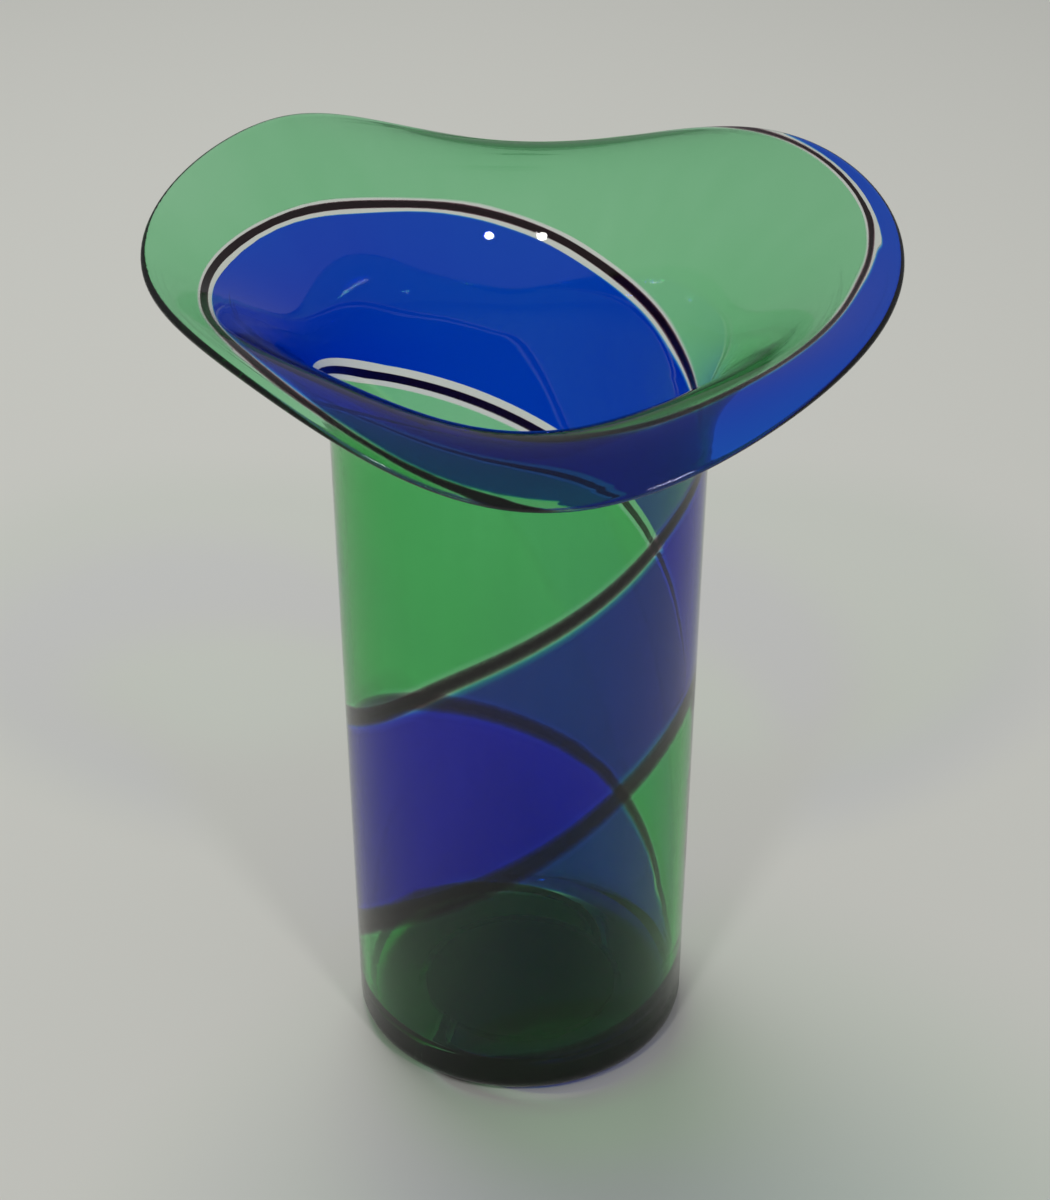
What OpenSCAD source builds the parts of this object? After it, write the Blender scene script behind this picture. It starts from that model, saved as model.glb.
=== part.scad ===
// Blown glass cylinder vase with a heart shaped, saddle bent mouth. The wall is made of glass bands that
// climb round it as a double start helix and are fused edge to edge through the whole thickness.
// Millimetres. +Z is up, the origin is on the table under the middle of the body, and the front is -Y.

/* [Body] */
// Outer radius where the wall leaves the rounded heel
base_radius = 57.4; // [48:0.1:70]
// Outer radius at the neck, where the mouth starts to flare
neck_radius = 60; // [50:0.1:72]
// Height of the neck above the table
neck_height = 232; // [150:1:320]
// Thickness of the wall, up to the neck
wall = 3.2; // [2:0.1:4.5]

/* [Base] */
// Height of the flat floor inside
floor_height = 8; // [5:0.5:12]
// Radius of the rounded heel outside
heel_radius = 7; // [4:0.5:9]
// Radius of the fillet between the floor and the wall inside
floor_fillet = 9; // [4:0.5:12]
// Radius of the disc that closes the middle of the base
disc_radius = 34; // [20:0.5:35]
// Height of the underside of the disc above the table, at its edge
kick_edge = 1.5; // [0.5:0.1:2.4]
// Height of the underside of the disc above the table, in its middle
kick_middle = 3; // [2.5:0.1:4]
// Width of the slope from the flat resting ring up to the disc
kick_slope = 3.5; // [1:0.5:4]

/* [Mouth] */
// Mean length of the mouth along the glass, from the neck to the rim
lip_length = 84; // [60:1:110]
// How much longer than that it is at the sides, and shorter at the front and back
lip_long = 4.3; // [0:0.1:8]
// How much longer it is at the back, and shorter at the front
lip_back = 3.4; // [0:0.1:5]
// Thickness at the rim, which spinning the mouth out has thinned
rim_wall = 2.5; // [1.5:0.1:4.5]
// Mean angle that the mouth turns through, from upright
lip_turn = 86.5; // [60:0.5:102]
// How much more it turns at the front and back than on average, and less at the sides
lip_saddle = 36.5; // [0:0.5:42]
// How much more it turns at the front than at the back
lip_front = 14; // [0:0.5:15]
// How much more it turns on the right than on the left
lip_side = 8; // [0:0.5:12]
// How far the four sides are bent more than the corners between them
lip_corner = 5.2; // [0:0.1:8]
// How much the front is drawn down to a point
lip_point = 5; // [0:0.1:8]
// Share of the turn that comes late, towards the rim, where the rest comes early, at the neck
lip_late = 0.54; // [0.5:0.01:0.65]
// How much more of it comes late at the front and back, and less at the sides
late_saddle = 0.29; // [0:0.01:0.35]
// How much more of it comes late at the back than at the front
late_back = 0.045; // [0:0.005:0.1]

/* [Bands] */
// Width of each dark thread
thread_width = 3; // [1.5:0.1:4]
// Width of the clear strip between a thread and the blue band
clear_blue_side = 3; // [1.5:0.1:4]
// Width of the clear strip between a thread and the green band
clear_green_side = 2; // [1.5:0.1:4]
// Share of its width that the upper thread keeps at the rim, where the glass is drawn out
upper_rim_share = 0.75; // [0.5:0.05:1]
// The same for the lower thread
lower_rim_share = 0.45; // [0.4:0.05:1]
// The same for the clear strips
clear_rim_share = 0.45; // [0.4:0.05:1]

/* [Hidden] */

// Heights up the glass are shares of each stretch: -1 is the edge of the disc, 0 the foot of the heel,
// 1 the neck and 2 the rim.
// Route of the thread along the upper edge of the blue band: [height, turn in degrees from +X]
upper_route = [[-1, 222], [0, 236], [0.018, 254], [0.034, 280], [0.056, 322], [0.102, 371], [0.175, 389], [0.263, 418],
    [0.312, 444], [0.38, 479], [0.516, 543], [0.604, 577], [0.72, 611], [0.85, 658], [0.935, 690],
    [1.04, 735], [1.1, 747], [1.2, 764], [1.315, 785], [1.42, 804], [1.52, 826], [1.58, 848], [1.65, 873],
    [1.7, 894], [1.77, 915], [1.86, 934], [1.93, 957], [1.955, 978], [2, 993]];
// Route of the thread along the lower edge of the blue band
lower_route = [[-1, 392], [0, 430], [0.008, 448], [0.016, 476], [0.03, 505], [0.088, 531], [0.146, 550],
    [0.258, 583],
    [0.35, 612], [0.44, 642], [0.507, 665], [0.565, 690], [0.614, 722], [0.682, 744], [0.76, 770],
    [0.83, 797], [0.93, 838], [1.11, 888], [1.35, 936], [1.48, 964], [1.615, 986], [1.67, 1002],
    [1.73, 1017], [1.76, 1031], [1.785, 1048], [1.83, 1064], [1.885, 1074], [1.93, 1085], [1.955, 1100], [1.98, 1120],
    [2, 1132]];

// Columns of facets across a band and across a thread or strip
green_columns = 18;
blue_columns = 16;
trim_columns = 2;
// Steps of the sum that follows the curve of the lip
lip_steps = 14;
// Heights between which the threads and strips narrow
drawn_from = 0.8;
drawn_to = 1.7;
// Half the stretch of wall over which a thread's slope is measured, as a share of its height
slope_reach = 0.02;
// Most degrees that 1 mm of width may take where a thread runs nearly level
widest_turn = 6;
heel_end = heel_radius / neck_height;
base_flat = base_radius - heel_radius;
floor_edge = base_radius - wall - floor_fillet;
rim_share = rim_wall / 2 / lip_length;

// Rows of points from the disc to the rim, closer together where the threads run nearly level
rows = concat(
    [-1, -1 + kick_slope / (base_flat - disc_radius), -0.4, 0],
    [for (i = [1:8]) heel_end * i / 8],
    [for (i = [1:13]) heel_end + (0.1 - heel_end) * i / 13],
    [for (i = [1:40]) 0.1 + 0.9 * i / 40],
    [for (i = [1:6]) 1 + 0.1 * i / 6],
    [for (i = [1:22]) 1.1 + (0.9 - rim_share) * i / 22],
    [for (a = [35, 60, 80]) 2 - rim_share + rim_share * sin(a)]);

// Millimetres of glass from the foot of the heel up to height h
function climb(h) =
    h < 0 ? h * (base_flat - disc_radius)
    : h < 1 ? h * neck_height
    : neck_height + (h - 1) * lip_length;
// Index of the stretch of route that holds height h
function stretch(route, h, i = 0) =
    i >= len(route) - 2 || h < route[i + 1][0] ? i : stretch(route, h, i + 1);
// Degrees per millimetre on stretch i, and at knot i so that the curve never turns back
function chord(route, i) = (route[i + 1][1] - route[i][1]) / (climb(route[i + 1][0]) - climb(route[i][0]));
function knot_slope(route, i) =
    i == 0 ? chord(route, 0)
    : i == len(route) - 1 ? chord(route, i - 1)
    : 2 * chord(route, i - 1) * chord(route, i) / (chord(route, i - 1) + chord(route, i));
// Turn of a route at height h, on a smooth curve through its knots
function turn_at(route, h) =
    let (i = stretch(route, h), low = route[i], high = route[i + 1], span = climb(high[0]) - climb(low[0]),
        s = (climb(h) - climb(low[0])) / span, s2 = s * s, s3 = s2 * s)
    low[1] * (2 * s3 - 3 * s2 + 1) + high[1] * (3 * s2 - 2 * s3)
    + span * (knot_slope(route, i) * (s3 - 2 * s2 + s) + knot_slope(route, i + 1) * (s3 - s2));

// Radius that a width is measured on
function rough_radius(h) =
    h < 0 ? base_flat + h * (base_flat - disc_radius)
    : h < 1 ? base_radius
    : neck_radius + (h - 1) * lip_length * 0.6;
// Degrees that 1 mm across a thread takes at height h
function turn_per_mm(route, h) =
    let (low = max(-1, h - slope_reach), high = min(2, h + slope_reach),
        rise = (turn_at(route, high) - turn_at(route, low)) / (climb(high) - climb(low)),
        level = 180 / PI / rough_radius(h))
    min(widest_turn, sqrt(level * level + rise * rise));
// Share of a width that is left at height h, when a share of it is kept at the rim
function drawn(h, kept) =
    1 - (1 - kept) * min(1, max(0, (h - drawn_from) / (drawn_to - drawn_from)));
// Turn of an edge at height h, where an edge is [route, width of thread beside it, share of that kept at
// the rim, width of clear strip beside that, turn added]
function edge_turn(edge, h) =
    let (width = edge[1] * drawn(h, edge[2]) + edge[3] * drawn(h, clear_rim_share))
    turn_at(edge[0], h) + width * turn_per_mm(edge[0], h) + edge[4];

// Degrees that the lip turns through, from upright, at a given turn round the vase
function lip_angle(turn) =
    lip_turn - lip_saddle * cos(2 * turn) - lip_front * sin(turn) + lip_side * cos(turn)
    + lip_corner * cos(4 * turn) + 1.6 * sin(4 * turn) - lip_point * (sin(3 * turn) + 0.8 * cos(3 * turn));
// Share of that turn that comes late
function late_share(turn) =
    lip_late - late_saddle * cos(2 * turn) + late_back * sin(turn) + 0.04 * cos(turn) - 0.08 * cos(4 * turn);
// Lean of the lip from upright, a share of the way along it
function lean(share, turn) =
    let (late = late_share(turn), left = 1 - share)
    lip_angle(turn) * (late * share * share + (1 - late) * (1 - left * left * left));
function total(values, i = 0) = i == len(values) ? 0 : values[i] + total(values, i + 1);
// Radius and height of the underside of the lip, a share of the way along it
function lip_point_at(share, turn) =
    let (angles = [for (i = [0:lip_steps - 1]) lean(share * (i + 0.5) / lip_steps, turn)],
        step = (lip_length + lip_long * cos(2 * turn) + lip_back * sin(turn)) * share / lip_steps)
    [neck_radius + step * total([for (a = angles) sin(a)]),
        neck_height + step * total([for (a = angles) cos(a)])];
// Half the thickness that is left beside the round edge of the rim
function rim_thin(share) =
    let (past = (share - 1 + rim_share) / rim_share)
    past <= 0 ? 0 : rim_wall / 2 * (1 - sqrt(max(0, 1 - past * past)));

// Radius and height of the outside and of the inside at height h
function outside(h, turn) =
    h < 0 ? [base_flat + h * (base_flat - disc_radius),
        kick_edge * max(0, (-h * (base_flat - disc_radius) - base_flat + disc_radius + kick_slope) / kick_slope)]
    : h <= heel_end ? let (a = 90 * h / heel_end)
        [base_flat + heel_radius * sin(a), heel_radius * (1 - cos(a))]
    : h <= 1 ? let (s = (h - heel_end) / (1 - heel_end))
        [base_radius + (neck_radius - base_radius) * s, heel_radius + (neck_height - heel_radius) * s]
    : let (p = lip_point_at(h - 1, turn), a = lean(h - 1, turn), d = rim_thin(h - 1))
        [p[0] - d * cos(a), p[1] + d * sin(a)];
function inside(h, turn) =
    h < 0 ? [floor_edge + h * (floor_edge - disc_radius), floor_height]
    : h <= heel_end ? let (a = 90 * h / heel_end)
        [floor_edge + floor_fillet * sin(a), floor_height + floor_fillet * (1 - cos(a))]
    : h <= 1 ? let (s = (h - heel_end) / (1 - heel_end), foot = floor_height + floor_fillet)
        [base_radius - wall + (neck_radius - base_radius) * s, foot + (neck_height - foot) * s]
    : let (p = lip_point_at(h - 1, turn), a = lean(h - 1, turn),
        d = wall + (rim_wall - wall) * (h - 1) - rim_thin(h - 1))
        [p[0] - d * cos(a), p[1] + d * sin(a)];
function in_space(p, turn) = [p[0] * cos(turn), p[0] * sin(turn), p[1]];

// Solid between two edges, from the disc to the rim
module band(low, high, columns) {
    turns = [for (h = rows) let (a = edge_turn(low, h), b = edge_turn(high, h))
        [for (i = [0:columns]) a + (b - a) * i / columns]];
    wide = columns + 1;
    last = len(rows) - 1;
    skin = wide * len(rows);
    points = concat(
        [for (j = [0:last]) for (t = turns[j]) in_space(outside(rows[j], t), t)],
        [for (j = [0:last]) for (t = turns[j]) in_space(inside(rows[j], t), t)]);
    faces = concat(
        [for (j = [0:last - 1]) for (i = [0:columns - 1]) let (k = j * wide + i)
            each [[k, k + wide, k + 1], [k + 1, k + wide, k + wide + 1],
                [skin + k, skin + k + 1, skin + k + wide],
                [skin + k + 1, skin + k + wide + 1, skin + k + wide]]],
        [for (j = [0:last - 1]) let (k = j * wide, m = k + columns)
            each [[k, skin + k + wide, k + wide], [k, skin + k, skin + k + wide],
                [m, m + wide, skin + m + wide], [m, skin + m + wide, skin + m]]],
        [for (i = [0:columns - 1]) let (k = last * wide + i)
            each [[i, i + 1, skin + i + 1], [i, skin + i + 1, skin + i],
                [k, skin + k + 1, k + 1], [k, skin + k, skin + k + 1]]]);
    polyhedron(points, faces, convexity = 10);
}

// Edges of the pieces, in rising order of turn
half_thread = thread_width / 2;
upper_green_edge = [upper_route, -half_thread, upper_rim_share, -clear_green_side, 0];
upper_low_edge = [upper_route, -half_thread, upper_rim_share, 0, 0];
upper_high_edge = [upper_route, half_thread, upper_rim_share, 0, 0];
upper_blue_edge = [upper_route, half_thread, upper_rim_share, clear_blue_side, 0];
lower_blue_edge = [lower_route, -half_thread, lower_rim_share, -clear_blue_side, 0];
lower_low_edge = [lower_route, -half_thread, lower_rim_share, 0, 0];
lower_high_edge = [lower_route, half_thread, lower_rim_share, 0, 0];
lower_green_edge = [lower_route, half_thread, lower_rim_share, clear_green_side, 0];
next_green_edge = [upper_route, -half_thread, upper_rim_share, -clear_green_side, 360];

module green_band() { color([0.16, 0.6, 0.32, 0.8]) band(lower_green_edge, next_green_edge, green_columns); }
module blue_band() { color([0.05, 0.15, 0.75, 0.8]) band(upper_blue_edge, lower_blue_edge, blue_columns); }
module upper_thread() { color("black") band(upper_low_edge, upper_high_edge, trim_columns); }
module lower_thread() { color("black") band(lower_low_edge, lower_high_edge, trim_columns); }
module upper_clear_strip_blue_side() {
    color("white") band(upper_high_edge, upper_blue_edge, trim_columns);
}
module upper_clear_strip_green_side() {
    color("white") band(upper_green_edge, upper_low_edge, trim_columns);
}
module lower_clear_strip_blue_side() {
    color("white") band(lower_blue_edge, lower_low_edge, trim_columns);
}
module lower_clear_strip_green_side() {
    color("white") band(lower_high_edge, lower_green_edge, trim_columns);
}

// Disc in the middle of the base, with the same corners as the pieces that meet it
module pontil_disc() {
    function corners(low, high, columns) =
        let (a = edge_turn(low, -1), b = edge_turn(high, -1))
        [for (i = [0:columns - 1]) a + (b - a) * i / columns];
    turns = concat(corners(upper_green_edge, upper_low_edge, trim_columns),
        corners(upper_low_edge, upper_high_edge, trim_columns),
        corners(upper_high_edge, upper_blue_edge, trim_columns),
        corners(upper_blue_edge, lower_blue_edge, blue_columns),
        corners(lower_blue_edge, lower_low_edge, trim_columns),
        corners(lower_low_edge, lower_high_edge, trim_columns),
        corners(lower_high_edge, lower_green_edge, trim_columns),
        corners(lower_green_edge, next_green_edge, green_columns));
    n = len(turns);
    // Rings of the domed underside, from the edge in
    rings = [1, 0.75, 0.45];
    dome = kick_middle - kick_edge;
    points = concat(
        [for (s = rings) for (t = turns) in_space([disc_radius * s, kick_edge + dome * (1 - s * s)], t)],
        [for (t = turns) in_space([disc_radius, floor_height], t)],
        [[0, 0, kick_middle], [0, 0, floor_height]]);
    top = len(rings) * n;
    faces = concat(
        [for (r = [0:len(rings) - 2]) for (i = [0:n - 1]) let (k = (i + 1) % n)
            each [[r * n + i, r * n + k, (r + 1) * n + k], [r * n + i, (r + 1) * n + k, (r + 1) * n + i]]],
        [for (i = [0:n - 1]) let (k = (i + 1) % n)
            each [[top - n + i, top - n + k, top + n], [top + k, top + i, top + n + 1],
                [i, top + i, top + k], [i, top + k, k]]]);
    color([0.02, 0.3, 0.2, 0.9]) polyhedron(points, faces, convexity = 4);
}

green_band();
blue_band();
upper_thread();
lower_thread();
upper_clear_strip_blue_side();
upper_clear_strip_green_side();
lower_clear_strip_blue_side();
lower_clear_strip_green_side();
pontil_disc();
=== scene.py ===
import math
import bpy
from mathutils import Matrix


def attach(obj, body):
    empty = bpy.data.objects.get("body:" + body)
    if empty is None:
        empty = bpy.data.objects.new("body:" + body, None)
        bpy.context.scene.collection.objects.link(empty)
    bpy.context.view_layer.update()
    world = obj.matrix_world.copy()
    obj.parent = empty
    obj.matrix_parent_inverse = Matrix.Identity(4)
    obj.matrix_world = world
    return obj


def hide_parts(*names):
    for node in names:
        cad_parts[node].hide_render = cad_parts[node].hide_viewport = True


bl_info = {
    "name": "Blown Glass Vase",
    "version": (1, 0, 0),
    "blender": (4, 5, 0),
    "location": "3D View > Sidebar > Glass Vase",
    "description": "Builds a hand blown vase of green and blue glass bands round the CAD frame",
    "category": "Object",
}

from types import SimpleNamespace

import bmesh
import bpy
import numpy as np
from bpy.props import FloatProperty, FloatVectorProperty, PointerProperty

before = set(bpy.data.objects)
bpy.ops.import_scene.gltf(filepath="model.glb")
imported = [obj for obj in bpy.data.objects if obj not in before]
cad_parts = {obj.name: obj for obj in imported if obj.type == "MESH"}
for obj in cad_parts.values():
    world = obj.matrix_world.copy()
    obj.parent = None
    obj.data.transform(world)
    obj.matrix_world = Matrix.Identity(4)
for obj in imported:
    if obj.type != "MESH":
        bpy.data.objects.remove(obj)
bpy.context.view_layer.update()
MM = 0.001

# Heights up the glass are shares of each stretch: -1 is the edge of the disc, 0 the foot of the heel,
# 1 the neck and 2 the rim. A route gives [height, turn in degrees from +X] along the middle of a thread.
UPPER_ROUTE = (
    (-1, 222), (0, 236), (0.018, 254), (0.034, 280), (0.056, 322), (0.102, 371), (0.175, 389),
    (0.263, 418), (0.312, 444), (0.38, 479), (0.516, 543), (0.604, 577), (0.72, 611), (0.85, 658),
    (0.935, 690), (1.04, 735), (1.1, 747), (1.2, 764), (1.315, 785), (1.42, 804), (1.52, 826),
    (1.58, 848), (1.65, 873), (1.7, 894), (1.77, 915), (1.86, 934), (1.93, 957), (1.955, 978),
    (2, 993))
LOWER_ROUTE = (
    (-1, 392), (0, 430), (0.008, 448), (0.016, 476), (0.03, 505), (0.088, 531), (0.146, 550),
    (0.258, 583), (0.35, 612), (0.44, 642), (0.507, 665), (0.565, 690), (0.614, 722), (0.682, 744),
    (0.76, 770), (0.83, 797), (0.93, 838), (1.11, 888), (1.35, 936), (1.48, 964), (1.615, 986),
    (1.67, 1002), (1.73, 1017), (1.76, 1031), (1.785, 1048), (1.83, 1064), (1.885, 1074),
    (1.93, 1085), (1.955, 1100), (1.98, 1120), (2, 1132))
# Heights between which the threads and strips narrow, where the mouth was drawn out
DRAWN_FROM, DRAWN_TO = 0.8, 1.7
# Half the stretch of wall over which a thread's slope is measured
SLOPE_REACH = 0.02
# Most degrees that 1 mm of width may take where a thread runs nearly level
WIDEST_TURN = 6
# How far the lip reaches outwards, as a share of its length, where widths are measured
OUTWARD = 0.6
# Steps of the sum that follows the curve of the lip
LIP_STEPS = 14

# Fineness of the visual meshes
GREEN_COLUMNS = 96
BLUE_COLUMNS = 72
TRIM_COLUMNS = 6
DISC_STEPS = 144

# Thickness in millimetres that the glass colours are given for
COLOUR_DEPTH = 3.2
# Share of the light from outside that goes straight through the glass
THROUGH = 0.9
# Soda glass, with its reflections held down to those of a dim room
GLASS_IOR, GLASS_SPECULAR = 1.5, 0.2
# Distance in millimetres between the ripples that the tools and the spin leave
RIPPLE_SPACING = 18
# Gap in millimetres between the resting ring and the floor of the stage
FLOOR_DROP = 0.3
# Half the side of the floor in metres
FLOOR_REACH = 6


def linear(code):
    """Turns an sRGB hex colour into linear red, green and blue."""
    parts = [int(code[i:i + 2], 16) / 255 for i in (1, 3, 5)]
    return tuple(c / 12.92 if c <= 0.04045 else ((c + 0.055) / 1.055) ** 2.4 for c in parts)


def length(name, description, mm):
    """Makes a length property from a default in millimetres."""
    return FloatProperty(
        name=name, description=description, default=mm * MM, min=0, max=400 * MM,
        unit="LENGTH", precision=4)


def angle(name, description, degrees):
    """Makes an angle property from a default in degrees."""
    return FloatProperty(
        name=name, description=description, default=math.radians(degrees), unit="ROTATION")


def share(name, description, value):
    """Makes a property for a share between 0 and 1."""
    return FloatProperty(name=name, description=description, default=value, min=0, max=1)


def colour(name, description, code):
    """Makes a colour property from an sRGB hex default."""
    return FloatVectorProperty(
        name=name, description=description, default=linear(code), subtype="COLOR", min=0, max=1)


class VaseBody(bpy.types.PropertyGroup):
    """Sizes of the body and the base"""
    base_radius: length("Base radius", "Outer radius where the wall leaves the heel", 57.4)
    neck_radius: length("Neck radius", "Outer radius where the mouth starts to flare", 60)
    neck_height: length("Neck height", "Height of the neck above the table", 232)
    wall: length("Wall", "Thickness of the wall up to the neck", 3.2)
    floor_height: length("Floor height", "Height of the flat floor inside", 8)
    heel_radius: length("Heel radius", "Radius of the rounded heel outside", 7)
    floor_fillet: length("Floor fillet", "Radius between the floor and the wall inside", 9)
    disc_radius: length("Disc radius", "Radius of the disc in the middle of the base", 34)
    kick_edge: length("Kick edge", "Height under the edge of the disc", 1.5)
    kick_middle: length("Kick middle", "Height under the middle of the disc", 3)
    kick_slope: length("Kick slope", "Width of the slope up to the disc", 3.5)


class VaseMouth(bpy.types.PropertyGroup):
    """Sizes and bends of the mouth"""
    lip_length: length("Lip length", "Mean length along the glass from the neck to the rim", 84)
    lip_long: length("Lip long", "How much longer it is at the sides", 4.3)
    lip_back: length("Lip back", "How much longer it is at the back", 3.4)
    rim_wall: length("Rim wall", "Thickness at the rim, thinned by spinning", 2.5)
    lip_turn: angle("Lip turn", "Mean angle that the mouth turns through", 86.5)
    lip_saddle: angle("Lip saddle", "Extra turn at the front and back", 36.5)
    lip_front: angle("Lip front", "Extra turn at the front", 14)
    lip_side: angle("Lip side", "Extra turn on the right", 8)
    lip_corner: angle("Lip corner", "Extra turn of the four sides over the corners", 5.2)
    lip_point: angle("Lip point", "How far the front is drawn down to a point", 5)
    lip_late: share("Lip late", "Share of the turn that comes late, towards the rim", 0.54)
    late_saddle: share("Late saddle", "How much more of it comes late at the front and back", 0.29)
    late_back: share("Late back", "How much more of it comes late at the back", 0.045)


class VaseBands(bpy.types.PropertyGroup):
    """Widths of the threads and the clear strips"""
    thread_width: length("Thread width", "Width of each dark thread", 3)
    clear_blue_side: length("Clear, blue side", "Clear strip beside the blue band", 3)
    clear_green_side: length("Clear, green side", "Clear strip beside the green band", 2)
    upper_rim_share: share("Upper rim share", "Share of its width that the upper thread keeps", 0.75)
    lower_rim_share: share("Lower rim share", "Share of its width that the lower thread keeps", 0.45)
    clear_rim_share: share("Clear rim share", "Share of their width that the clear strips keep", 0.45)
    seam_gap: length("Seam gap", "Air left between fused pieces, so that no two faces coincide", 0.02)


class VaseGlass(bpy.types.PropertyGroup):
    """Colours of the glass"""
    green: colour("Green", "What the green glass lets through one wall", "#99E6B1")
    blue: colour("Blue", "What the blue glass lets through one wall", "#034DDC")
    thread: colour("Thread", "What the aubergine glass lets through one wall", "#1C0A10")
    clear: colour("Clear", "What the clear glass lets through one wall", "#F7FBF9")
    # The disc colour is partly the glass's own deeper green and partly painted shade: it is darkened to
    # stand in for the shaded floor seen through the base.
    disc: colour("Disc", "What the glass of the disc lets through one wall", "#4F9C7C")


SIZE_GROUPS = {"vase_body": VaseBody, "vase_mouth": VaseMouth, "vase_bands": VaseBands}
GROUPS = {**SIZE_GROUPS, "vase_glass": VaseGlass}


def vase_sizes(scene):
    """Collects the sizes, lengths in millimetres and angles in degrees."""
    found = {}
    for group in (getattr(scene, name) for name in SIZE_GROUPS):
        for name, prop in group.bl_rna.properties.items():
            if prop.type == "FLOAT":
                scale = {"LENGTH": 1 / MM, "ROTATION": 180 / math.pi}.get(prop.unit, 1)
                found[name] = getattr(group, name) * scale
    s = SimpleNamespace(**found)
    s.base_flat = s.base_radius - s.heel_radius
    s.floor_edge = s.base_radius - s.wall - s.floor_fillet
    s.heel_end = s.heel_radius / s.neck_height
    s.rim_share = s.rim_wall / 2 / s.lip_length
    return s


# --- The wall as a surface of heights and turns ---

def climb(size, height):
    """Millimetres of glass from the foot of the heel up to a height."""
    return (np.minimum(height, 0) * (size.base_flat - size.disc_radius)
            + np.clip(height, 0, 1) * size.neck_height
            + np.maximum(height - 1, 0) * size.lip_length)


def turn_at(size, route, height):
    """Turn of a route, on a smooth curve through its knots that never turns back."""
    knots = np.array(route, float)
    place, t, at = climb(size, knots[:, 0]), knots[:, 1], climb(size, height)
    chord = np.diff(t) / np.diff(place)
    between = 2 * chord[:-1] * chord[1:] / (chord[:-1] + chord[1:])
    slope = np.concatenate((chord[:1], between, chord[-1:]))
    i = np.clip(np.searchsorted(place, at, side="right") - 1, 0, len(place) - 2)
    span = place[i + 1] - place[i]
    s = (at - place[i]) / span
    s2, s3 = s * s, s * s * s
    return (t[i] * (2 * s3 - 3 * s2 + 1) + t[i + 1] * (3 * s2 - 2 * s3)
            + span * (slope[i] * (s3 - 2 * s2 + s) + slope[i + 1] * (s3 - s2)))


def edge_turn(size, edge, height, beside):
    """Turn of a line that lies some millimetres beside an edge.

    An edge is a route, the thread beside it, the share of that kept at the rim, and the clear
    strip beside that."""
    route, thread, kept, clear = edge
    lost = np.clip((height - DRAWN_FROM) / (DRAWN_TO - DRAWN_FROM), 0, 1)
    width = thread * (1 - (1 - kept) * lost) + clear * (1 - (1 - size.clear_rim_share) * lost)
    low, high = np.maximum(-1, height - SLOPE_REACH), np.minimum(2, height + SLOPE_REACH)
    rise = ((turn_at(size, route, high) - turn_at(size, route, low))
            / (climb(size, high) - climb(size, low)))
    radius = np.where(
        height < 0, size.base_flat + height * (size.base_flat - size.disc_radius),
        np.where(height < 1, size.base_radius,
                 size.neck_radius + (height - 1) * size.lip_length * OUTWARD))
    per_mm = np.minimum(WIDEST_TURN, np.hypot(180 / math.pi / radius, rise))
    return turn_at(size, route, height) + (width + beside) * per_mm


def lip_angle(size, a):
    """Degrees that the lip turns through, from upright, at a turn in radians round the vase."""
    return (size.lip_turn - size.lip_saddle * np.cos(2 * a) - size.lip_front * np.sin(a)
            + size.lip_side * np.cos(a) + size.lip_corner * np.cos(4 * a) + 1.6 * np.sin(4 * a)
            - size.lip_point * (np.sin(3 * a) + 0.8 * np.cos(3 * a)))


def lean(size, along, a):
    """Lean of the lip from upright in radians, a share of the way along it."""
    late = (size.lip_late - size.late_saddle * np.cos(2 * a) + size.late_back * np.sin(a)
            + 0.04 * np.cos(a) - 0.08 * np.cos(4 * a))
    return np.radians(lip_angle(size, a)) * (late * along ** 2 + (1 - late) * (1 - (1 - along) ** 3))


def wall_point(size, height, turn, inner):
    """Radius and height in millimetres of the outside, or of the inside, of the wall."""
    base_width = size.base_flat - size.disc_radius
    kick = size.kick_edge * np.clip(
        (-height * base_width - base_width + size.kick_slope) / size.kick_slope, 0, None)
    base = (np.where(inner, size.floor_edge + height * (size.floor_edge - size.disc_radius),
                     size.base_flat + height * base_width),
            np.where(inner, size.floor_height, kick))
    a = np.pi / 2 * height / size.heel_end
    heel = (np.where(inner, size.floor_edge + size.floor_fillet * np.sin(a),
                     size.base_flat + size.heel_radius * np.sin(a)),
            np.where(inner, size.floor_height + size.floor_fillet * (1 - np.cos(a)),
                     size.heel_radius * (1 - np.cos(a))))
    s = (height - size.heel_end) / (1 - size.heel_end)
    foot = np.where(inner, size.floor_height + size.floor_fillet, size.heel_radius)
    body = (size.base_radius - np.where(inner, size.wall, 0) + (size.neck_radius - size.base_radius) * s,
            foot + (size.neck_height - foot) * s)
    along = np.clip(height - 1, 0, 1)
    around = np.radians(turn)
    past = np.clip((along - 1 + size.rim_share) / size.rim_share, 0, 1)
    thin = size.rim_wall / 2 * (1 - np.sqrt(1 - past * past))
    skin = np.where(inner, size.wall + (size.rim_wall - size.wall) * along - thin, thin)
    radius, top = np.full_like(along, size.neck_radius), np.full_like(along, size.neck_height)
    step = (size.lip_length + size.lip_long * np.cos(2 * around) + size.lip_back * np.sin(around)
            ) * along / LIP_STEPS
    for i in range(LIP_STEPS):
        tilt = lean(size, along * (i + 0.5) / LIP_STEPS, around)
        radius = radius + step * np.sin(tilt)
        top = top + step * np.cos(tilt)
    tilt = lean(size, along, around)
    lip = (radius - skin * np.cos(tilt), top + skin * np.sin(tilt))
    where = (height < 0, height <= size.heel_end, height <= 1)
    return tuple(np.select(where, (base[k], heel[k], body[k]), lip[k]) for k in (0, 1))


def row_heights(size):
    """Rows of the fine meshes, closer together where the threads run nearly level and at the rim."""
    slope_end = -1 + size.kick_slope / (size.base_flat - size.disc_radius)
    stretches = (
        np.linspace(-1, slope_end, 5), np.linspace(slope_end, 0, 11)[1:],
        np.linspace(0, size.heel_end, 25)[1:], np.linspace(size.heel_end, 0.1, 25)[1:],
        np.linspace(0.1, 1, 91)[1:], np.linspace(1, 1.7, 51)[1:],
        np.linspace(1.7, 2 - size.rim_share, 61)[1:],
        2 - size.rim_share * (1 - np.sin(np.radians((14, 28, 42, 54, 65, 75, 84)))))
    return np.concatenate(stretches)


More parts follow.
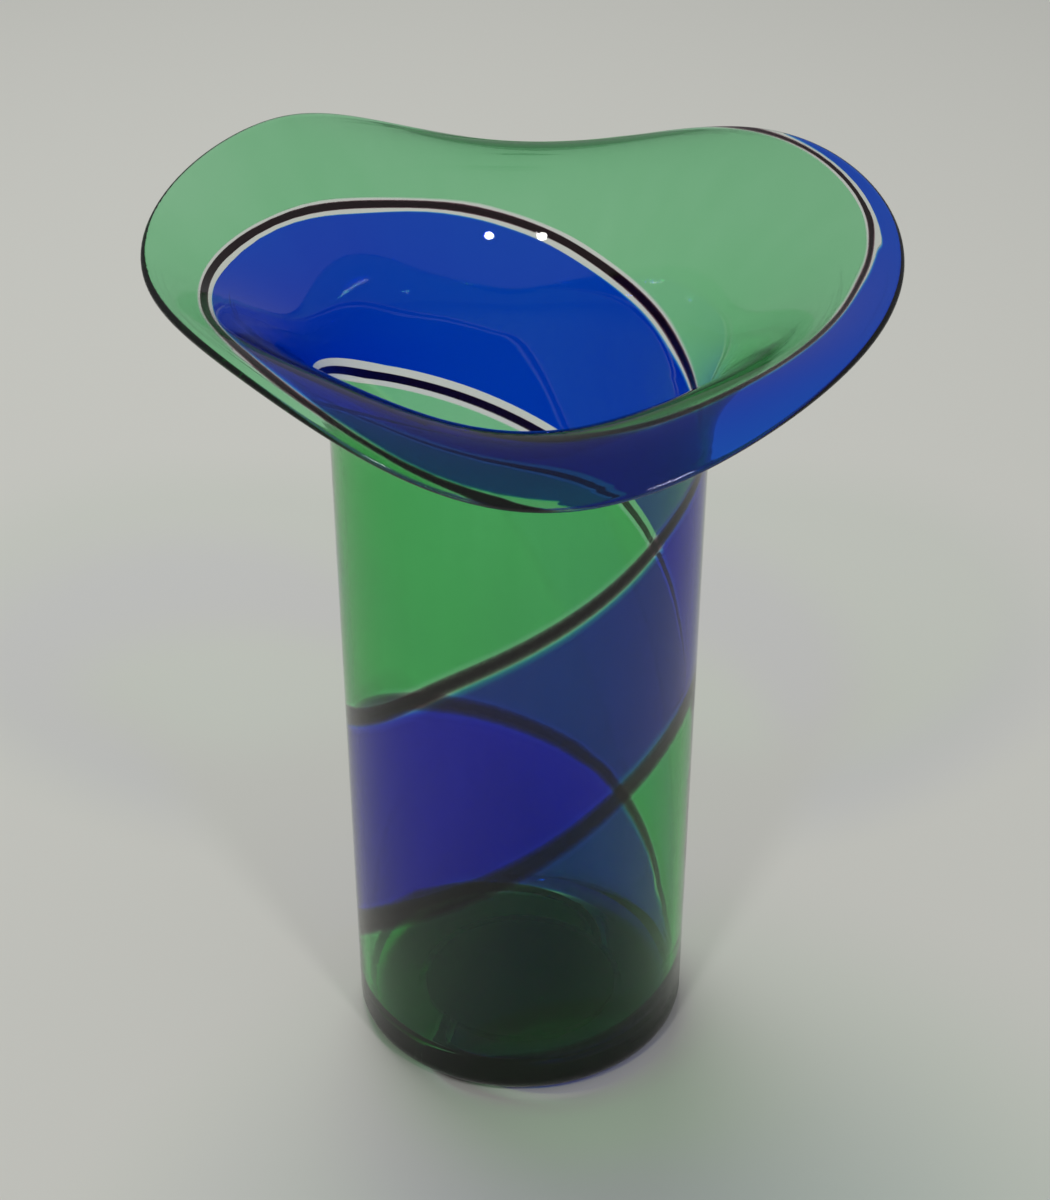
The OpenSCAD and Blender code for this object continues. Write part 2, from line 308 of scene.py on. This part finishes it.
def band_edges(size):
    """The eight edges between the pieces, in rising order of turn."""
    half = size.thread_width / 2
    upper, lower = size.upper_rim_share, size.lower_rim_share
    return {
        "upper_green": (UPPER_ROUTE, -half, upper, -size.clear_green_side),
        "upper_low": (UPPER_ROUTE, -half, upper, 0),
        "upper_high": (UPPER_ROUTE, half, upper, 0),
        "upper_blue": (UPPER_ROUTE, half, upper, size.clear_blue_side),
        "lower_blue": (LOWER_ROUTE, -half, lower, -size.clear_blue_side),
        "lower_low": (LOWER_ROUTE, -half, lower, 0),
        "lower_high": (LOWER_ROUTE, half, lower, 0),
        "lower_green": (LOWER_ROUTE, half, lower, size.clear_green_side),
    }


def finish_piece(bm, name, node, material):
    """Turns a bmesh into a piece that rides on the frame and stands for its CAD node."""
    bmesh.ops.recalc_face_normals(bm, faces=bm.faces[:])
    if bm.calc_volume(signed=True) < 0:
        bmesh.ops.reverse_faces(bm, faces=bm.faces[:])
    seam = bm.faces.layers.float["seam"]
    for face in bm.faces:
        face.smooth = True
    for edge in bm.edges:
        kinds = {face[seam] for face in edge.link_faces}
        edge.smooth = len(kinds) == 1
    mesh = bpy.data.meshes.new(name)
    bm.to_mesh(mesh)
    bm.free()
    mesh.materials.append(material)
    piece = bpy.data.objects.new(name, mesh)
    bpy.context.scene.collection.objects.link(piece)
    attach(piece, "root")
    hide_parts(node)
    return piece


def glass_band(size, name, node, material, low, high, columns, full_turn=0):
    """Makes the piece of wall between two helical edges, from the disc to the rim."""
    edges, heights = band_edges(size), row_heights(size)
    rows = len(heights) - 1
    start = edge_turn(size, edges[low], heights, size.seam_gap / 2)
    stop = edge_turn(size, edges[high], heights, -size.seam_gap / 2) + full_turn
    bm = bmesh.new()
    bmesh.ops.create_grid(bm, x_segments=columns, y_segments=rows, size=0.5)
    grown = bmesh.ops.extrude_face_region(bm, geom=bm.faces[:])["geom"]
    inside = [part for part in grown if isinstance(part, bmesh.types.BMVert)]
    bmesh.ops.translate(bm, verts=inside, vec=(0, 0, 1))
    bm.verts.index_update()
    place = np.array([v.co[:] for v in bm.verts])
    column = np.rint((place[:, 0] + 0.5) * columns).astype(int)
    row = np.rint((place[:, 1] + 0.5) * rows).astype(int)
    inner = place[:, 2] > 0.5
    turn = start[row] + (stop[row] - start[row]) * column / columns
    radius, top = wall_point(size, heights[row], turn, inner)
    round_z = np.radians(turn)
    spots = np.stack((radius * np.cos(round_z), radius * np.sin(round_z), top), axis=1) * MM
    for vert, spot in zip(bm.verts, spots):
        vert.co = spot
    seam = bm.faces.layers.float.new("seam")
    uv = bm.loops.layers.uv.new("along_band")
    for face in bm.faces:
        corners = [v.index for v in face.verts]
        through = len({bool(inner[i]) for i in corners}) == 2
        at_rim = all(row[i] == rows for i in corners)
        face[seam] = 1.0 if through and not at_rim else 0.0
        for loop in face.loops:
            i = loop.vert.index
            loop[uv].uv = (turn[i] / 360, heights[row[i]])
    return finish_piece(bm, name, node, material)


def pontil_disc(size, name, node, material):
    """Spins the section of the domed disc that closes the middle of the base."""
    bm = bmesh.new()
    reach = size.disc_radius - size.seam_gap
    dome = size.kick_middle - size.kick_edge
    shares = np.linspace(0, 1, 9)
    section = [(reach * s, size.kick_edge + dome * (1 - s * s)) for s in shares]
    section += [(reach, z) for z in np.linspace(size.kick_edge, size.floor_height, 4)[1:]]
    section += [(reach * s, size.floor_height) for s in shares[-2::-1]]
    verts = [bm.verts.new((x * MM, 0, z * MM)) for x, z in section]
    line = [bm.edges.new(pair) for pair in zip(verts, verts[1:])]
    bmesh.ops.spin(bm, geom=verts + line, cent=(0, 0, 0), axis=(0, 0, 1), angle=2 * math.pi,
                   steps=DISC_STEPS, use_merge=True)
    bmesh.ops.remove_doubles(bm, verts=bm.verts[:], dist=1e-6)
    seam = bm.faces.layers.float.new("seam")
    uv = bm.loops.layers.uv.new("along_band")
    for face in bm.faces:
        face[seam] = 1.0 if all(v.co.xy.length > (reach - 0.01) * MM for v in face.verts) else 0.0
        for loop in face.loops:
            loop[uv].uv = loop.vert.co.xy * 10
    return finish_piece(bm, name, node, material)


# --- Glass ---

def add_node(tree, kind, settings=None, inputs=None):
    """Adds one node, sets its settings, and fills or links its inputs."""
    new = tree.nodes.new(kind)
    for name, value in (settings or {}).items():
        setattr(new, name, value)
    for name, value in (inputs or {}).items():
        if isinstance(value, bpy.types.NodeSocket):
            tree.links.new(value, new.inputs[name])
        else:
            new.inputs[name].default_value = value
    return new


def glass(name, passes, streaky, ripple=0.04):
    """Blown glass: a smooth clear shell whose colour lies in its depth.

    Its skin is never quite flat, and faint streaks run along it where the gather was drawn out."""
    if name in bpy.data.materials:
        return bpy.data.materials[name]
    material = bpy.data.materials.new(name)
    material.use_nodes = True
    tree = material.node_tree
    tree.nodes.clear()
    place = add_node(tree, "ShaderNodeTexCoord")
    ripples = add_node(tree, "ShaderNodeTexNoise", inputs={
        "Vector": place.outputs["Object"], "Scale": 1 / (RIPPLE_SPACING * MM),
        "Detail": 1.5, "Roughness": 0.4})
    skin = add_node(tree, "ShaderNodeBump", inputs={
        "Height": ripples.outputs["Fac"], "Strength": 1.0, "Distance": ripple * MM})
    # Streaks along the bands, a few millimetres wide and many times as long
    along = add_node(tree, "ShaderNodeMapping", inputs={
        "Vector": place.outputs["UV"], "Scale": (40.0, 2.5, 1.0)})
    streaks = add_node(tree, "ShaderNodeTexNoise", inputs={
        "Vector": along.outputs["Vector"], "Scale": 1.0, "Detail": 3.0})
    tint = add_node(tree, "ShaderNodeMix", settings={"data_type": "RGBA"}, inputs={
        0: streaks.outputs["Fac"], 6: (1, 1, 1, 1), 7: (*linear(streaky), 1)})
    shell = add_node(tree, "ShaderNodeBsdfPrincipled", inputs={
        "Base Color": tint.outputs[2], "Roughness": 0.0, "IOR": GLASS_IOR,
        "Specular IOR Level": GLASS_SPECULAR, "Transmission Weight": 1.0,
        "Normal": skin.outputs["Normal"]})
    # Fused seams don't show as surfaces: light goes straight on into the next glass
    seam = add_node(tree, "ShaderNodeAttribute", settings={"attribute_name": "seam"})
    # Most light from outside shines straight through, dimmed and coloured by the depth of the glass
    path = add_node(tree, "ShaderNodeLightPath")
    shadow = add_node(tree, "ShaderNodeMath", settings={"operation": "MULTIPLY"}, inputs={
        0: path.outputs["Is Shadow Ray"], 1: THROUGH})
    through = add_node(tree, "ShaderNodeMath", settings={"operation": "MAXIMUM"}, inputs={
        0: seam.outputs["Fac"], 1: shadow.outputs[0]})
    fused = add_node(tree, "ShaderNodeBsdfTransparent")
    surface = add_node(tree, "ShaderNodeMixShader", inputs={
        0: through.outputs[0], 1: shell.outputs[0], 2: fused.outputs[0]})
    absorbed, density = depth_colour(passes)
    depth = add_node(tree, "ShaderNodeVolumeAbsorption", inputs={
        "Color": (*absorbed, 1), "Density": density})
    add_node(tree, "ShaderNodeOutputMaterial", inputs={
        "Surface": surface.outputs[0], "Volume": depth.outputs[0]})
    return material


def depth_colour(passes):
    """Absorption colour and density of glass that passes these shares of light through one wall."""
    loss = [-math.log(max(part, 0.001)) / (COLOUR_DEPTH * MM) for part in passes]
    density = max(loss) * 1.02
    return tuple(1 - value / density for value in loss), density


def green_glass(scene):
    """Transparent emerald green soda glass, blown and fire polished."""
    return glass("emerald_green_blown_glass", scene.vase_glass.green, "#EEF8F0")


def blue_glass(scene):
    """Transparent cobalt blue soda glass, blown and fire polished."""
    return glass("cobalt_blue_blown_glass", scene.vase_glass.blue, "#EDF0FC")


def thread_glass(scene):
    """Aubergine glass so dense that a 3 mm thread is nearly black."""
    return glass("aubergine_thread_glass", scene.vase_glass.thread, "#F0E8EC")


def clear_glass(scene):
    """Colourless soda glass with the faint grey green of its iron."""
    return glass("clear_blown_glass", scene.vase_glass.clear, "#F4F8F6")


def disc_glass_and_painted_shade(scene):
    """The gathered green glass in the middle of the base, ground and polished underneath. Its colour is
    partly the glass's own deeper green and partly painted shade, darkened to stand in for the shaded
    floor seen through the base.
    """
    return glass("pontil_green_glass_and_painted_shade", scene.vase_glass.disc, "#EEF8F0", ripple=0.08)


class GLASSVASE_OT_colour_bands(bpy.types.Operator):
    """Make the green and the blue band"""
    bl_idname = "glass_vase.colour_bands"
    bl_label = "Colour bands"

    def execute(self, context):
        size = vase_sizes(context.scene)
        glass_band(size, "green_glass_band", "green_band", green_glass(context.scene),
                   "lower_green", "upper_green", GREEN_COLUMNS, full_turn=360)
        glass_band(size, "blue_glass_band", "blue_band", blue_glass(context.scene),
                   "upper_blue", "lower_blue", BLUE_COLUMNS)
        return {"FINISHED"}


class GLASSVASE_OT_threads(bpy.types.Operator):
    """Make the two dark threads along the edges of the blue band"""
    bl_idname = "glass_vase.threads"
    bl_label = "Dark threads"

    def execute(self, context):
        size = vase_sizes(context.scene)
        for side in ("upper", "lower"):
            glass_band(size, f"{side}_dark_thread", f"{side}_thread",
                       thread_glass(context.scene), f"{side}_low", f"{side}_high", TRIM_COLUMNS)
        return {"FINISHED"}


class GLASSVASE_OT_clear_strips(bpy.types.Operator):
    """Make the four clear strips beside the threads"""
    bl_idname = "glass_vase.clear_strips"
    bl_label = "Clear strips"

    def execute(self, context):
        size = vase_sizes(context.scene)
        strips = {
            "upper_clear_strip_green_side": ("upper_green", "upper_low"),
            "upper_clear_strip_blue_side": ("upper_high", "upper_blue"),
            "lower_clear_strip_blue_side": ("lower_blue", "lower_low"),
            "lower_clear_strip_green_side": ("lower_high", "lower_green"),
        }
        for node, (low, high) in strips.items():
            glass_band(size, node.replace("strip", "glass"), node,
                       clear_glass(context.scene), low, high, TRIM_COLUMNS)
        return {"FINISHED"}


class GLASSVASE_OT_disc(bpy.types.Operator):
    """Make the disc in the middle of the base"""
    bl_idname = "glass_vase.disc"
    bl_label = "Pontil disc"

    def execute(self, context):
        scene = context.scene
        pontil_disc(vase_sizes(scene), "pontil_glass", "pontil_disc", disc_glass_and_painted_shade(scene))
        return {"FINISHED"}


class GLASSVASE_OT_stage(bpy.types.Operator):
    """Make the floor, the soft studio light and the camera"""
    bl_idname = "glass_vase.stage"
    bl_label = "Stage"

    def execute(self, context):
        scene = context.scene
        make_floor(scene)
        make_light(scene)
        make_camera(scene)
        scene.view_settings.view_transform = "Standard"
        scene.cycles.caustics_refractive = False
        scene.cycles.caustics_reflective = False
        scene.cycles.max_bounces = 32
        scene.cycles.transmission_bounces = 32
        scene.cycles.transparent_max_bounces = 64
        return {"FINISHED"}


def make_floor(scene):
    """Lays a matte, pale grey floor that reaches past every view."""
    bm = bmesh.new()
    bmesh.ops.create_grid(bm, x_segments=1, y_segments=1, size=FLOOR_REACH)
    bmesh.ops.translate(bm, verts=bm.verts[:], vec=(0, 0, -FLOOR_DROP * MM))
    mesh = bpy.data.meshes.new("pale_floor")
    bm.to_mesh(mesh)
    bm.free()
    material = bpy.data.materials.new("matte_paper_backdrop")
    material.use_nodes = True
    shader = material.node_tree.nodes["Principled BSDF"]
    shader.inputs["Base Color"].default_value = (*linear("#CFCFC8"), 1)
    shader.inputs["Roughness"].default_value = 0.9
    mesh.materials.append(material)
    floor = bpy.data.objects.new("pale_floor", mesh)
    scene.collection.objects.link(floor)


def make_light(scene):
    """Hangs a wide soft light overhead, and two small lamps that give the bright glints on the lip."""
    world = bpy.data.worlds.new("soft_studio")
    world.use_nodes = True
    sky = world.node_tree.nodes["Background"]
    sky.inputs["Color"].default_value = (*linear("#F2F4F6"), 1)
    sky.inputs["Strength"].default_value = 0.3
    scene.world = world
    for name, place, size, power, mirrored in (
            ("overhead_softbox", (-0.3, 0.9, 2.0), 1.2, 24, False),
            ("left_lamp", (-0.45, -1.2, 1.6), 0.2, 5, True),
            ("right_lamp", (0.62, -1.2, 1.6), 0.2, 5, True)):
        data = bpy.data.lights.new(name, "AREA")
        data.shape = "DISK"
        data.size = size
        data.energy = power
        lamp = bpy.data.objects.new(name, data)
        lamp.visible_glossy = mirrored
        lamp.visible_transmission = mirrored
        scene.collection.objects.link(lamp)
        aim = np.array((0, 0, 0.2)) - np.array(place)
        lamp.location = place
        lamp.rotation_euler = (
            math.acos(-aim[2] / np.linalg.norm(aim)), 0, math.atan2(aim[1], aim[0]) - math.pi / 2)


def make_camera(scene):
    """Places the camera in front of the vase, looking down at it through a long lens."""
    data = bpy.data.cameras.new("camera")
    data.sensor_fit = "HORIZONTAL"
    data.lens = 85.7143
    camera = bpy.data.objects.new("camera", data)
    camera.location = (0.00175, -0.7036, 0.5904)
    camera.rotation_euler = (math.radians(58.8), 0, 0)
    scene.collection.objects.link(camera)
    scene.camera = camera


class GLASSVASE_PT_panel(bpy.types.Panel):
    """Sizes and pieces of the vase"""
    bl_label = "Glass Vase"
    bl_idname = "GLASSVASE_PT_panel"
    bl_space_type = "VIEW_3D"
    bl_region_type = "UI"
    bl_category = "Glass Vase"

    def draw(self, context):
        for name in GROUPS:
            group = getattr(context.scene, name)
            column = self.layout.column(align=True)
            for prop in group.__annotations__:
                column.prop(group, prop)
        for operator in OPERATORS:
            self.layout.operator(operator.bl_idname)


OPERATORS = (
    GLASSVASE_OT_colour_bands, GLASSVASE_OT_threads, GLASSVASE_OT_clear_strips,
    GLASSVASE_OT_disc, GLASSVASE_OT_stage)
CLASSES = (*GROUPS.values(), *OPERATORS, GLASSVASE_PT_panel)


def register():
    for cls in CLASSES:
        bpy.utils.register_class(cls)
    for name, cls in GROUPS.items():
        setattr(bpy.types.Scene, name, PointerProperty(type=cls))


def unregister():
    for name in GROUPS:
        delattr(bpy.types.Scene, name)
    for cls in reversed(CLASSES):
        bpy.utils.unregister_class(cls)


def main():
    register()
    bpy.ops.glass_vase.colour_bands()
    bpy.ops.glass_vase.threads()
    bpy.ops.glass_vase.clear_strips()
    bpy.ops.glass_vase.disc()
    bpy.ops.glass_vase.stage()


if __name__ == "__main__":
    main()
